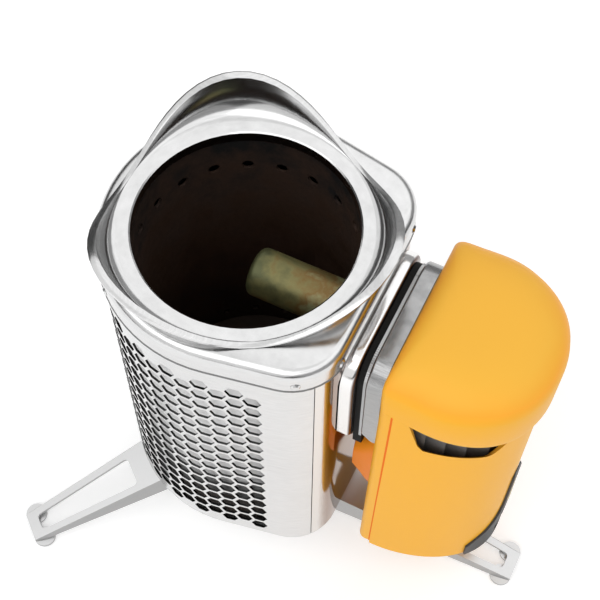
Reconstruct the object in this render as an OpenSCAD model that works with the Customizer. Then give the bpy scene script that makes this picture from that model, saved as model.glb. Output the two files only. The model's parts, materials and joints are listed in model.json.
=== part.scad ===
/* [Body] */
// Radius of the round back of the body
body_r = 59; // [54:0.5:65]
// How much nearer to the chamber axis the flat face lies than the round back
flat_inset = 1.7; // [1:0.1:4]
// How much narrower the body is at the corners beside the flat face
corner_inset = 6; // [4:0.5:10]
// Radius of the corners beside the flat face
corner_r = 22.5; // [16:0.5:26]
// Height of the underside of the body above the ground
base_z = 29; // [27:0.5:36]
// Height of the top face of the cap above the ground
cap_z = 200.5; // [182:0.5:220]
// Height of the cap's skirt
skirt_h = 12.5; // [9:0.5:14]
// Radius of the cap's top edge
cap_edge_r = 4; // [2:0.5:6]
// Thickness of the steel sheet
sheet = 1; // [0.8:0.1:1.2]
// Angle on the corner where the wrap meets the back panel
seam_angle = 41; // [30:1:50]

/* [Heat mesh] */
// Vertical pitch of the hexagonal holes
hex_pitch_v = 8.8; // [8.6:0.1:9]
// Pitch of the columns of holes round the body
hex_pitch_c = 7.2; // [7:0.1:7.3]
// Width of the web between two holes
hex_web = 1.6; // [1.2:0.1:2.4]
// Height of the lowest hole's centre above the underside of the body
hex_first_z = 13.5; // [10:0.5:15]
// Least distance from a hole's centre to the cap's skirt
hex_top_margin = 12; // [8:0.5:20]
// Least distance from a hole's centre to the bend of the corner
hex_side_margin = 9; // [8:0.5:20]

/* [Pot ring] */
// Distance from the round back of the body to the mouth
mouth_inset = 13.4; // [13:0.1:16]
// How far the ring's edge stands out of the round back at the top of a lobe
crest_out = 4.5; // [2:0.5:8]
// How far the ring's edge lies inside the round back between two lobes
low_inset = 4.9; // [3:0.1:6]
// Height of the lobes above the cap
crest_h = 18.8; // [12:0.2:24]
// Width of the land on top of a lobe
lip_w = 3.5; // [2.5:0.5:5]
// Depth of the neck that seats the ring in the chamber
neck_h = 4.5; // [3:0.5:8]

/* [Chamber] */
// Thickness of the chamber wall
chamber_wall = 1.2; // [1:0.1:1.4]
// Distance from the round back of the body to the air jacket
jacket_inset = 5; // [4:0.5:7]
// Height of the chamber floor above the underside of the body
floor_h = 18; // [14:1:30]
// Jets in each ring
jet_count = 20; // [12:1:24]
// Radius of the upper jets
jet_r = 2.6; // [1.5:0.1:3]
// Height of the upper jets below the cap
jet_drop = 22.5; // [20:0.5:30]

/* [Legs] */
// Distance from the round back of the body to the hinge pins
hinge_inset = 9; // [8:0.5:12]
// Height of the two rear hinge pins above the ground
rear_hinge_z = 22; // [21:0.5:22.5]
// Height of the front hinge pin above the ground
front_hinge_z = 14; // [12:0.5:15]
// Distance from the chamber axis to the ends of the rear legs
rear_reach = 124; // [115:1:126]
// Distance from the chamber axis to the end of the front leg
front_reach = 146; // [136:0.5:148]
// Angle between the front leg and a rear leg
rear_angle = 130; // [126:1:134]
// Sideways place of the front leg
front_offset = -7; // [-8:0.5:8]
// Half width of a leg's top at the hinge
leg_root_w = 12; // [11:0.5:13]
// Half width of a leg's top at its end
leg_tip_w = 7.2; // [6:0.2:8]
// Height of the side flanges at the hinge
leg_root_h = 7; // [5:0.5:7]
// Height of the side flanges at the end
leg_tip_h = 2.4; // [2:0.1:2.4]
// Outward slant of the side flanges per unit of height
leg_splay = 0.55; // [0.3:0.05:0.6]
// Thickness of the leg sheet
leg_t = 1.6; // [1.2:0.1:1.8]
// Height of the leg's top above its hinge pin
leg_rise = 4.5; // [4.4:0.1:5]
// Radius of the round pads at the end of a leg
pad_r = 5.2; // [4:0.2:6]
// Radius of the hinge pins
pin_r = 1.5; // [1.2:0.1:1.6]

/* [Dock] */
// Half width of the raised dock
dock_w = 34; // [30:0.5:35]
// Height of the dock
dock_h = 59; // [50:1:65]
// Distance from the top of the cap to the dock's upper edge
dock_drop = 15.5; // [14:0.5:20]
// Radius of the dock's upper corners
dock_corner = 14; // [8:0.5:18]
// Radius of the dock's lower corners
dock_low_corner = 6; // [4:0.5:12]
// How far the dock stands out from the flat face
dock_t = 5.7; // [4:0.1:6]
// Distance from the dock's upper edge to the heat probe's axis
probe_drop = 14; // [13:0.5:25]
// Radius of the heat probe
probe_r = 10.5; // [8:0.5:11]
// Distance from the chamber axis to the probe's tip
probe_tip_x = 3; // [0:1:20]
// Distance from the dock's lower edge to the middle of the air inlet
inlet_drop = 27; // [26:0.5:32]

/* [Power module] */
// Gap from the dock to the metal frame, filled by the seal
seal_t = 4; // [3:0.5:5]
// How far the seal hangs below the dock
seal_hang = 8; // [4:0.5:9]
// Thickness of the metal frame
frame_t = 7.2; // [6:0.1:9]
// Half width of the metal frame
frame_w = 32; // [29:0.5:33]
// Thickness of the back cover up to the parting line
cover_t = 5.8; // [5:0.1:7]
// How much further back the casing's foot lies than its top
back_lean = 3.2; // [0:0.1:4]
// Half width of the casing at its foot
case_w = 36; // [34:0.5:37]
// Depth of the casing from its back to its nose
case_d = 54.8; // [52:0.1:58]
// Height of the casing's underside above the ground
case_z = 24; // [23:0.5:28]
// Distance from the dock's upper edge to the hood's lower edge
hood_drop = 17; // [15:0.5:19]
// Height of the hood
hood_h = 34; // [30:0.5:36]
// How much lower the hood's edge lies at the nose than at the back
hood_rake = 10; // [0:0.5:12]
// How far the hood overhangs the casing at the nose
hood_over = 3.5; // [2:0.5:5]
// Growth of the casing's half width from foot to hood
case_draft = 1.8; // [0.5:0.1:2]
// Wall of the plastic shells
shell_t = 2; // [1.6:0.1:2.4]
// Depth of the vents below the hood
vent_h = 18.5; // [14:0.5:20]

/* [Dashboard] */
// Height of the dashboard
dash_h = 70; // [68:1:80]
// Height of the wide foot of the dashboard
dash_foot_h = 12; // [10:0.5:16]
// Share of the width that the strip above the foot keeps
dash_strip = 0.15; // [0.13:0.01:0.25]
// Share of the nose that the dashboard wraps
dash_wrap = 0.36; // [0.34:0.01:0.4]
// Thickness of the dashboard
dash_t = 1.2; // [1:0.1:1.6]
// Radius of the power button
button_r = 4; // [3:0.5:4.5]
// Height of the button above the casing's underside
button_h = 26; // [25:0.5:28]
// Travel of the power button
button_travel = 0.8; // [0.5:0.1:1]
// Indicator lights in the column
light_count = 5; // [3:1:5]

/* [Inside the module] */
// Inside radius of the fan ring
fan_r = 17; // [14:0.5:18]
// Blades on the fan
fan_blades = 7; // [5:1:9]
// Cooling fins on the heat sink
fin_count = 9; // [5:1:11]
// Radius of the battery cell
cell_r = 9; // [7:0.5:9.5]
// Length of the battery cell
cell_l = 65; // [50:1:68]

/* [Clearances] */
// Gap between pieces that sit against each other
seat_gap = 0.1; // [0.05:0.01:0.2]
// Radial clearance of a turning pin
run_gap = 0.05; // [0.02:0.01:0.1]
// Gap round pieces that move past each other
slide_gap = 0.4; // [0.3:0.05:0.6]
// Width of the groove along the parting line of the casing
parting_gap = 0.5; // [0.3:0.1:0.8]

/* [Hidden] */
$fn = 64;
steel = [0.78, 0.78, 0.79];
polished = [0.86, 0.85, 0.84];
pale_alloy = [0.84, 0.85, 0.86];
orange = [0.96, 0.66, 0.2];
charcoal = [0.16, 0.16, 0.17];

// Places that follow from the body's radius and height.
flat_x = body_r - flat_inset;
corner_y = body_r - corner_inset;
mouth_r = body_r - mouth_inset;
crest_r = body_r + crest_out;
low_r = body_r - low_inset;
jacket_r = body_r - jacket_inset;
hinge_r = body_r - hinge_inset;
skirt_z = cap_z - skirt_h;
dock_z1 = cap_z - dock_drop;
dock_z0 = dock_z1 - dock_h;
probe_z = dock_z1 - probe_drop;
hood_z = dock_z1 - hood_drop;

// Plan of the body: a circle and two corner circles joined by straight tangents.
corner_c = [flat_x - corner_r, corner_y - corner_r];
tangent_a = atan2(corner_c[1], corner_c[0]) + acos((body_r - corner_r) / norm(corner_c));
function polar(r, a) = [r * cos(a), r * sin(a)];
function flip(p) = [p[0], -p[1]];
arc_len = PI * body_r * (180 - tangent_a) / 180;
tangent_start = polar(body_r, tangent_a);
tangent_end = corner_c + polar(corner_r, tangent_a);
tangent_len = norm(tangent_end - tangent_start);
tangent_dir = (tangent_end - tangent_start) / tangent_len;
corner_arc = PI * corner_r * (tangent_a - seam_angle) / 180;
seam_s = arc_len + tangent_len + corner_arc;
seam_gap_a = 1;

// Place of the part: the middle of its footprint is the origin, so the chamber axis is off it.
pad_at = [rear_reach - pad_r, leg_tip_w - 0.7];
rear_back_x = pad_at[0] * cos(rear_angle) - pad_at[1] * sin(rear_angle) - pad_r;
axis_x = -(front_reach + rear_back_x) / 2;

// Levels and radii of the chamber.
pan_t = 1.2;
pan_top = base_z + pan_t;
cap_under = cap_z - sheet;
chamber_r = mouth_r + sheet;
chamber_out = chamber_r + chamber_wall;
floor_z = base_z + floor_h;
floor_t = 1.5;
jacket_z = floor_z + 5;
port_r = probe_r + 1.8;
jet_clear = cos(asin((port_r + jet_r + 1) / chamber_r));
inlet_z = dock_z0 - inlet_drop;
inlet_w = 13;
inlet_h = 11;

// The module's planes along X, from the dock outwards.
dock_x = flat_x + seat_gap;
seal_x = dock_x + dock_t + seat_gap;
frame_x = seal_x + seal_t - seat_gap;
cover_x = frame_x + frame_t + seat_gap;
parting_x = cover_x + cover_t;
nose_x = cover_x + case_d;
case_top_w = case_w + case_draft;
nose_top_x = nose_x + case_draft;
hood_w = case_top_w + 1.7;
hood_nose_x = nose_top_x + hood_over;
hood_top_z = hood_z + hood_h;
shell_floor = case_z + shell_t + 0.3;
frame_z0 = dock_z0 + 5;
frame_z1 = dock_z1 + 0.5;
frame_slant = 4;
case_sides = 30;

// Length and slope of a leg from its hinge height and its reach.
tip_top = leg_t + 1;
function leg_drop(hz) = hz - tip_top;
function leg_len(reach, hz) = sqrt(pow(reach - hinge_r, 2) + pow(leg_drop(hz), 2) - leg_rise * leg_rise);
function leg_slope(reach, hz) =
    atan2(leg_drop(hz), reach - hinge_r) + atan2(leg_rise, leg_len(reach, hz));
leg_start = 3.2;
knuckle_r = 2.8;
knuckle_in = 5;
knuckle_t = 2;
lug_t = 2;
lug_in = knuckle_in + knuckle_t + 0.3;

module on_axis() translate([axis_x, 0, 0]) children();
module along_x(x) translate([x, 0, 0]) rotate([90, 0, 90]) children();

// A skin over sections that have the same number of points: closed round, or capped at both ends.
// A section that isn't convex gives the cells that its caps are made of.
module skin(sections, round = false, cells = undef) {
    n = len(sections[0]);
    m = len(sections);
    parts = is_undef(cells) ? [[for (j = [0 : n - 1]) j]] : cells;
    last = round ? m - 1 : m - 2;
    walls = [for (i = [0 : last], j = [0 : n - 1], k = [0, 1]) let (
        a = i * n + j,
        b = i * n + (j + 1) % n,
        c = ((i + 1) % m) * n + (j + 1) % n,
        d = ((i + 1) % m) * n + j
    ) k == 0 ? [a, b, c] : [a, c, d]];
    caps = round ? [] : concat([for (c = parts) [for (j = [len(c) - 1 : -1 : 0]) c[j]]],
        [for (c = parts) [for (j = c) (m - 1) * n + j]]);
    polyhedron(points = [for (s = sections, p = s) p], faces = concat(walls, caps), convexity = 8);
}

// The body's outline as points with their outward directions.
plan_steps = 40;
corner_steps = 9;
side_steps = 5;
flat_steps = 10;
back_frames = [for (i = [0 : plan_steps]) let (a = tangent_a + (360 - 2 * tangent_a) * i / plan_steps)
    concat(polar(body_r, a), polar(1, a))];
corner_frames = [for (i = [0 : corner_steps]) let (a = tangent_a * i / corner_steps)
    concat(corner_c + polar(corner_r, a), polar(1, a))];
side_frames = [for (i = [1 : side_steps - 1])
    concat(tangent_end + (tangent_start - tangent_end) * i / side_steps, polar(1, tangent_a))];
flat_frames = [for (i = [1 : flat_steps - 1]) [flat_x, corner_c[1] * (2 * i / flat_steps - 1), 1, 0]];
function mirrored(frames) = [for (i = [len(frames) - 1 : -1 : 0]) let (f = frames[i]) [f[0], -f[1], f[2], -f[3]]];
plan_frames = concat(back_frames, mirrored(side_frames), mirrored(corner_frames), flat_frames, corner_frames,
    side_frames);

module plan(off = 0) polygon([for (f = plan_frames) [f[0] + off * f[2], f[1] + off * f[3]]]);

// A point of the wrap at a distance s along the wall from the middle of the back.
function wrap_side(t, off) =
    t <= arc_len ? polar(body_r + off, 180 - t / body_r * 180 / PI)
    : t <= arc_len + tangent_len
        ? polar(body_r + off, tangent_a) + tangent_dir * (t - arc_len)
        : corner_c + polar(corner_r + off, tangent_a - (t - arc_len - tangent_len) / corner_r * 180 / PI);
function wrap_point(s, off) = let (p = wrap_side(abs(s), off)) [p[0], s < 0 ? -p[1] : p[1]];
module at_wall(s) {
    side = s < 0 ? -1 : 1;
    t = abs(s);
    p = wrap_point(s, 0);
    turn = t <= arc_len ? 180 - t / body_r * 180 / PI : tangent_a;
    translate([p[0], p[1], 0]) rotate(side * turn) children();
}

// Bent steel wrap with a field of hexagonal holes.
hex_hole_h = hex_pitch_v - hex_web;
hex_hole_w = hex_hole_h / hex_pitch_v * hex_pitch_c * 4 / 3;
wrap_top = cap_under - cap_edge_r;
hex_rows = floor((skirt_z - hex_top_margin - base_z - hex_first_z) / hex_pitch_v) + 1;
hex_side_cols = floor((arc_len + tangent_len - hex_side_margin) / hex_pitch_c);
module hexagon() {
    w = hex_hole_w / 2;
    h = hex_hole_h / 2;
    polygon([[-w, 0], [-w / 2, -h], [w / 2, -h], [w, 0], [w / 2, h], [-w / 2, h]]);
}
module heat_mesh() color(steel) on_axis() difference() {
    half_steps = hex_side_cols + 1;
    field = [for (k = [-half_steps : half_steps - 1]) (k + 0.5) * hex_pitch_c];
    bend = [for (i = [0 : 6]) arc_len + tangent_len + corner_arc * i / 6];
    run = concat([for (i = [6 : -1 : 0]) -bend[i]], field, bend);
    translate([0, 0, pan_top]) linear_extrude(wrap_top - pan_top)
        polygon(concat([for (s = run) wrap_point(s, 0)],
            [for (i = [len(run) - 1 : -1 : 0]) wrap_point(run[i], -sheet)]));
    for (k = [-hex_side_cols : hex_side_cols], j = [0 : hex_rows - 1])
        at_wall(k * hex_pitch_c)
            translate([-sheet / 2, 0, base_z + hex_first_z + (j - abs(k) % 2 / 2) * hex_pitch_v])
                rotate([90, 0, 90]) linear_extrude(4 * sheet, center = true) hexagon();
}

// Polished panel on the flat side, with the probe's port and the air inlet.
module back_panel() color(polished) on_axis() difference() {
    a0 = seam_angle - seam_gap_a;
    bend = [for (i = [0 : 6]) a0 * (1 - i / 6)];
    half_out = [for (a = bend) corner_c + polar(corner_r, a)];
    half_in = [for (a = bend) corner_c + polar(corner_r - sheet, a)];
    translate([0, 0, pan_top]) linear_extrude(wrap_top - pan_top)
        polygon(concat(half_out, [for (i = [6 : -1 : 0]) flip(half_out[i])],
            [for (p = half_in) flip(p)], [for (i = [6 : -1 : 0]) half_in[i]]));
    along_x(flat_x - 2 * sheet) translate([0, probe_z]) cylinder(r = port_r, h = 4 * sheet);
    translate([flat_x, 0, inlet_z]) cube([4 * sheet, 2 * inlet_w, 2 * inlet_h], center = true);
}

// Pan under the body, with a low upstand inside the wrap.
module base_pan() color(steel) on_axis() {
    upstand = 4;
    translate([0, 0, base_z]) linear_extrude(pan_t) plan();
    translate([0, 0, pan_top]) linear_extrude(upstand) difference() {
        plan(-sheet - slide_gap);
        plan(-2 * sheet - slide_gap);
    }
}

// Pressed cap: a skirt round the wrap, a rounded edge and the mouth's opening.
module top_cap() color(steel) on_axis() {
    skirt_out = seat_gap + 0.75;
    arc = [for (i = [0 : 5]) 18 * i];
    open_r = chamber_r + seat_gap;
    skin([for (f = plan_frames) let (
        p = [f[0], f[1]],
        n = [f[2], f[3]],
        hole = open_r * p / norm(p),
        outer = concat([[skirt_out, skirt_z]],
            [for (a = arc) [skirt_out - cap_edge_r * (1 - cos(a)), cap_z - cap_edge_r * (1 - sin(a))]]),
        inner = concat([for (a = arc) let (b = 90 - a) [
            seat_gap - (cap_edge_r - 0.75) * (1 - cos(b)),
            cap_under - (cap_edge_r - 0.75) * (1 - sin(b))]], [[seat_gap, skirt_z]])
    ) concat([for (q = outer) concat(p + n * q[0], q[1])], [concat(hole, cap_z), concat(hole, cap_under)],
        [for (q = inner) concat(p + n * q[0], q[1])])], round = true);
}

// Wave-shaped pot ring: a flared lip that rises to three lobes and falls between them.
ring_steps = 72;
ring_t = 1;
wall_steps = 6;
function lobe(a) = (1 + cos(3 * a)) / 2;
function ring_section(a) = let (
    w = lobe(a),
    seat = cap_z + seat_gap,
    edge_r = low_r + (crest_r - low_r) * w,
    edge_z = seat + ring_t + 0.4 + (crest_h - ring_t - 0.4) * w,
    start = [mouth_r + 5.4, seat + ring_t + 0.2],
    top = [edge_r - 2 - (lip_w - 2) * w, edge_z - 0.5 * w],
    wall = [for (i = [0 : wall_steps]) let (b = 90 * i / wall_steps)
        [start[0] + (top[0] - start[0]) * sin(b), start[1] + (top[1] - start[1]) * (1 - cos(b))]],
    under = [for (i = [wall_steps : -1 : 0]) let (
        b = 90 * i / wall_steps,
        d = [(top[1] - start[1]) * sin(b), -(top[0] - start[0]) * cos(b) - 0.001]
    ) wall[i] + ring_t * d / norm(d)],
    neck = [[mouth_r, seat - neck_h], [mouth_r, seat + ring_t - 0.5], [mouth_r + 0.6, seat + ring_t]],
    lip = [[edge_r - 1.2, edge_z], [edge_r, edge_z - 0.3], [edge_r, edge_z - ring_t - 0.3],
        [max(edge_r - 0.8, top[0] + ring_t + 0.05), edge_z - ring_t - 0.1]],
    foot = [[chamber_r - seat_gap, seat], [chamber_r - seat_gap, seat - neck_h]]
) concat(neck, wall, lip, under, foot);
module pot_ring() color(polished) on_axis()
    skin([for (i = [0 : ring_steps - 1]) let (a = -360 * i / ring_steps)
        [for (p = ring_section(a)) concat(polar(p[0], a), p[1])]], round = true);

// Rivets that hold the cap's skirt to the wrap and the panel.
module cap_rivets() color(polished) on_axis() {
    out = seat_gap + 0.75;
    for (s = [1, -1], a = [8, 60])
        translate([corner_c[0], s * corner_c[1], 0]) rotate(s * a)
            translate([corner_r + out, 0, (skirt_z + cap_z - cap_edge_r) / 2]) rotate([0, 90, 0])
                cylinder(r1 = 2, r2 = 1.3, h = 0.7);
    for (a = [130, 180, 230])
        rotate(a) translate([body_r + out, 0, (skirt_z + cap_z - cap_edge_r) / 2]) rotate([0, 90, 0])
            cylinder(r1 = 2, r2 = 1.3, h = 0.7);
}

// Burn chamber: a steel tube with two rings of air jets and the probe's port.
module burn_chamber() color([0.35, 0.33, 0.32]) on_axis() difference() {
    rotate_extrude() translate([chamber_r, pan_top]) square([chamber_wall, cap_under - seat_gap - pan_top]);
    for (i = [0 : jet_count - 1]) let (a = 360 * (i + 0.5) / jet_count) rotate(a) {
        if (cos(a) < jet_clear) translate([chamber_r - 2, 0, cap_z - jet_drop]) rotate([0, 90, 0])
            cylinder(r = jet_r, h = 6);
        translate([chamber_r - 2, 0, floor_z + 9]) rotate([0, 90, 0]) cylinder(r = jet_r * 0.7, h = 6);
    }
    along_x(chamber_r - 9) translate([0, probe_z]) cylinder(r = port_r, h = 14);
}

// Perforated floor that the fuel lies on: an upturned dish whose rim stands on the pan.
module chamber_floor() color([0.3, 0.29, 0.28]) on_axis() difference() {
    rim_r = chamber_r - slide_gap;
    translate([0, 0, pan_top + seat_gap]) cylinder(r = rim_r, h = floor_z + floor_t - pan_top - seat_gap);
    translate([0, 0, pan_top - 1]) cylinder(r = rim_r - floor_t, h = floor_z - pan_top + 1);
    for (ring = [[0, 1], [14, 6], [28, 12]], i = [0 : ring[1] - 1])
        rotate(360 * i / ring[1]) translate([ring[0], 0, floor_z - 1]) cylinder(r = 2.5, h = floor_t + 2);
}

// Air jacket round the chamber, closed to it by a flange, open to the inlet and the probe.
module air_jacket() color(steel) on_axis() difference() {
    rotate_extrude() union() {
        translate([jacket_r - sheet, jacket_z]) square([sheet, cap_under - seat_gap - jacket_z]);
        translate([chamber_out + seat_gap, jacket_z]) square([jacket_r - chamber_out - seat_gap, sheet]);
    }
    along_x(jacket_r - 9) translate([0, probe_z]) cylinder(r = port_r, h = 14);
    along_x(jacket_r - 9) translate([0, inlet_z]) cylinder(r = inlet_h, h = 14);
}

// A rectangle with round corners in the YZ plane, and a plate of that outline with a rounded edge on one face.
corner_points = 7;
function rounded_line(w, z0, z1, r, low) = [
    for (c = [[1, z1 - r, 0, r], [-1, z1 - r, 90, r], [-1, z0 + low, 180, low], [1, z0 + low, 270, low]],
        i = [0 : corner_points - 1])
        [c[0] * (w - c[3]), c[1]] + polar(c[3], c[2] + 90 * i / (corner_points - 1))];
module rounded_rect(w, z0, z1, r, low) polygon(rounded_line(w, z0, z1, r, low));
edge_steps = 4;
module plate(x0, x1, edge, w, z0, z1, r, low) {
    facing = x1 > x0 ? 1 : -1;
    rows = concat([[x0, 0]], [for (i = [0 : edge_steps]) let (b = 90 * i / edge_steps)
        [x1 - facing * edge * (1 - sin(b)), edge * (1 - cos(b))]]);
    order = [for (i = [0 : edge_steps + 1]) facing > 0 ? edge_steps + 1 - i : i];
    skin([for (i = order) let (q = rows[i])
        [for (p = rounded_line(w - q[1], z0 + q[1], z1 - q[1], r - q[1], low - q[1])) concat(q[0], p)]]);
}

// Raised dock that the module seats on.
dock_round = 1.8;
module dock_frame() color(polished) on_axis() difference() {
    plate(dock_x, dock_x + dock_t, dock_round, dock_w, dock_z0, dock_z1, dock_corner, dock_low_corner);
    along_x(dock_x - 1) translate([0, probe_z]) cylinder(r = port_r, h = dock_t + 2);
}

// Pin-and-lug brackets under the pan.
module hinge_place(front, side) {
    rotate(front ? 0 : side * rear_angle)
        translate([hinge_r, front ? front_offset : 0, front ? front_hinge_z : rear_hinge_z]) children();
}
module each_hinge() {
    hinge_place(true, 0) children();
    for (side = [1, -1]) hinge_place(false, side) children();
}
bracket_t = 1.5;
bracket_d = 7;
module bracket(hz) {
    top = base_z - hz;
    half = lug_in + lug_t;
    difference() {
        union() {
            translate([-bracket_d, -half, top - bracket_t]) cube([bracket_d + knuckle_r, 2 * half, bracket_t]);
            for (s = [lug_in, -half]) translate([0, s + lug_t, 0]) rotate([90, 0, 0]) linear_extrude(lug_t) {
                circle(r = knuckle_r - 0.2);
                polygon([[-knuckle_r + 0.2, 0], [knuckle_r - 0.2, 0], [knuckle_r - 0.2, top - bracket_t / 2],
                    [-bracket_d, top - bracket_t / 2], [-bracket_d, top - bracket_t]]);
            }
        }
        translate([0, half + 1, 0]) rotate([90, 0, 0]) cylinder(r = pin_r + run_gap / 2, h = 2 * half + 2);
    }
}
module leg_brackets() color(pale_alloy) on_axis() {
    hinge_place(true, 0) bracket(front_hinge_z);
    for (side = [1, -1]) hinge_place(false, side) bracket(rear_hinge_z);
}
module hinge_pins() color(steel) on_axis() each_hinge() {
    half = lug_in + lug_t + seat_gap;
    translate([0, half, 0]) rotate([90, 0, 0]) cylinder(r = pin_r, h = 2 * half);
    for (s = [half, -half - 1]) translate([0, s + 1, 0]) rotate([90, 0, 0]) cylinder(r = 2.3, h = 1);
}

// Stamped leg: a tapered channel with slanted flanges, a window and two round pads.
function leg_profile(d, length) = let (
    t = (d - leg_start) / (length - leg_start),
    w = leg_root_w + (leg_tip_w - leg_root_w) * t,
    h = leg_root_h + (leg_tip_h - leg_root_h) * t,
    wall = leg_t * 0.9,
    out = leg_splay * h,
    edge = leg_splay * wall * 0.8,
    rim_w = w + out - leg_splay * edge,
    foot_w = w + out - wall,
    web_w = w - leg_splay * leg_t - wall * 0.3
) [[d, -rim_w, leg_rise - h + edge], [d, -w, leg_rise], [d, w, leg_rise], [d, rim_w, leg_rise - h + edge],
    [d, foot_w, leg_rise - h], [d, web_w, leg_rise - leg_t], [d, -web_w, leg_rise - leg_t],
    [d, -foot_w, leg_rise - h]];
channel_cells = [[0, 1, 6, 7], [1, 2, 5, 6], [2, 3, 4, 5]];
function window_corner(c, r, a0) = [for (i = [0 : 3]) c + polar(r, a0 + 30 * i)];
module leg_window(length) {
    rail = 4.6;
    d0 = leg_start + 14;
    d1 = length - 5.5;
    r = 2;
    w0 = leg_root_w - rail - r;
    w1 = leg_tip_w - rail + 1.6 - r;
    linear_extrude(3 * leg_t, center = true) polygon(concat(
        window_corner([d1 - r, w1], r, 0), window_corner([d0 + r, w0], r, 90),
        window_corner([d0 + r, -w0], r, 180), window_corner([d1 - r, -w1], r, 270)));
}
module leg(reach, hz) {
    length = leg_len(reach, hz);
    slope = leg_slope(reach, hz);
    difference() {
        union() {
            rotate([0, slope, 0]) {
                skin([leg_profile(leg_start, length), leg_profile(length, length)], cells = channel_cells);
                for (s = [knuckle_in, -knuckle_in - knuckle_t])
                    translate([0, s + knuckle_t, 0]) rotate([90, 0, 0]) linear_extrude(knuckle_t) {
                        circle(r = knuckle_r);
                        polygon([[0, knuckle_r], [leg_start + 0.6, leg_rise - leg_t / 2],
                            [11, leg_rise - leg_t / 2], [9, leg_rise - 4], [0, -knuckle_r]]);
                    }
            }
            for (s = [1, -1]) translate([reach - hinge_r - pad_r, s * pad_at[1], -hz])
                cylinder(r = pad_r, h = leg_t);
        }
        rotate([0, slope, 0]) {
            translate([0, 0, leg_rise]) leg_window(length);
            translate([0, knuckle_in + knuckle_t + 1, 0]) rotate([90, 0, 0])
                cylinder(r = pin_r + run_gap, h = 2 * (knuckle_in + knuckle_t + 1));
        }
    }
}
module leg_front() color(pale_alloy) on_axis() hinge_place(true, 0) leg(front_reach, front_hinge_z);
module leg_left() color(pale_alloy) on_axis() hinge_place(false, -1) leg(rear_reach, rear_hinge_z);
module leg_right() color(pale_alloy) on_axis() hinge_place(false, 1) leg(rear_reach, rear_hinge_z);

// Outline of the casing: straight sides that run into a superelliptic nose.
function nose(a, xs, xn, w, p, q) = [xs + (xn - xs) * pow(sin(a), 2 / p), w * pow(cos(a), 2 / q)];
function d_outline(x0, xs, xn, w, p, q, a0 = 0) = let (
    half = [for (i = [0 : case_sides]) nose(a0 + (90 - a0) * i / case_sides, xs, xn, w, p, q)]
) concat([for (p = concat([[x0, w]], half)) flip(p)],
    [for (i = [case_sides - 1 : -1 : 0]) half[i]], [[x0, w]]);
case_p = 1.8;
case_q = 2.3;
hood_p = 2.4;
hood_q = 2.2;
case_bend_x = cover_x + 5.5;
hood_bend_x = cover_x + 12;
case_round = 3;
function case_line(x0, z, inset) = let (t = (z - case_z) / (hood_z - case_z))
    d_outline(x0, max(case_bend_x, x0 + 0.5), nose_x + case_draft * t - inset, case_w + case_draft * t - inset,
        case_p, case_q);

// The casing's back and its parting line lean: they lie further out towards the top.
function lean(z) = back_lean * (z - frame_z0 + frame_slant) / (hood_z - case_z);
back_top_x = cover_x + lean(hood_z);
seat_x = back_top_x + shell_t;

// Height of the hood's edge, and of the casing's rim below it, which is lowered along the vents.
rake_share = 0.7;
function edge_z(x) = hood_z + hood_rake * (rake_share - (x - cover_x) / case_d);
vent_from = cover_x + 15.5;
vent_to = nose_x - 2.5;
vent_ends = [0.12, 0.18];
vent_bevel = 3.4;
function vent_share(x) = let (t = (x - vent_from) / (vent_to - vent_from))
    t <= 0 || t >= 1 ? 0 : min(1, pow(t / vent_ends[0], 0.5), pow((1 - t) / vent_ends[1], 0.6));
function rim_z(x) = edge_z(x) - seat_gap - vent_h * vent_share(x);

module front_shell() color(orange) on_axis() difference() {
    x0 = parting_x + parting_gap + lean(case_z);
    x1 = parting_x + parting_gap + lean(hood_z);
    foot_out = case_line(x0, case_z, case_round * 0.7);
    low_out = case_line(x0, case_z + case_round, 0);
    top_out = case_line(x1, hood_z, 0);
    foot_in = case_line(x0, case_z, shell_t);
    top_in = case_line(x1, hood_z, shell_t);
    union() {
        skin([for (i = [0 : len(top_out) - 1]) [
            concat(foot_out[i], case_z), concat(low_out[i], case_z + case_round),
            concat(top_out[i], rim_z(top_out[i][0])),
            concat(top_in[i], rim_z(top_out[i][0]) - vent_bevel * vent_share(top_out[i][0])),
            concat(foot_in[i], case_z + case_round), concat(case_line(x0, case_z, case_round + 1)[i], case_z)
        ]]);
        translate([0, 0, shell_floor - shell_t]) linear_extrude(shell_t)
            polygon(case_line(x0 + 0.3, case_z, case_round));
    }
    along_x(nose_x - 12) translate([0, case_z + button_h]) cylinder(r = button_r + slide_gap, h = 30);
    for (i = [0 : light_count - 1]) along_x(nose_x - 12) translate([0, light_z(i)])
        cylinder(r = light_r + seat_gap, h = 30);
    translate([nose_x - 20, -usb_w - seat_gap, usb_z - usb_h - seat_gap])
        cube([40, 2 * (usb_w + seat_gap), 2 * (usb_h + seat_gap)]);
}

// Hood: a domed cap over the casing. It is flush with the back cover and swells out past the parting line,
// where its lip shades the vents. Its back corners get rounder towards the top.
hood_roll = 27;
hood_rise = 14;
hood_full = 2.3;
hood_lip = 1.4;
hood_back_share = 0.45;
hood_swell = 26;
hood_corner_steps = 5;
function ease(t) = let (c = min(1, max(0, t))) c * c * (3 - 2 * c);
function overhang(x) = ease((x - parting_x - lean(hood_z)) / hood_swell);
function hood_side(p) = [p[0], p[1] * (1 - (1 - case_top_w / hood_w) * (1 - overhang(p[0])))];
function hood_line(x0, rc, xs, xn, w) = let (
    turn = [for (i = [0 : hood_corner_steps - 1]) 90 * i / hood_corner_steps],
    centre = [x0 + rc, w - rc],
    near = [for (a = turn) flip(centre + polar(rc, 180 - a))],
    far = [for (i = [hood_corner_steps - 1 : -1 : 0]) centre + polar(rc, 180 - turn[i])]
) concat(near, d_outline(x0 + rc, xs, xn, w, hood_p, hood_q), far);
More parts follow.
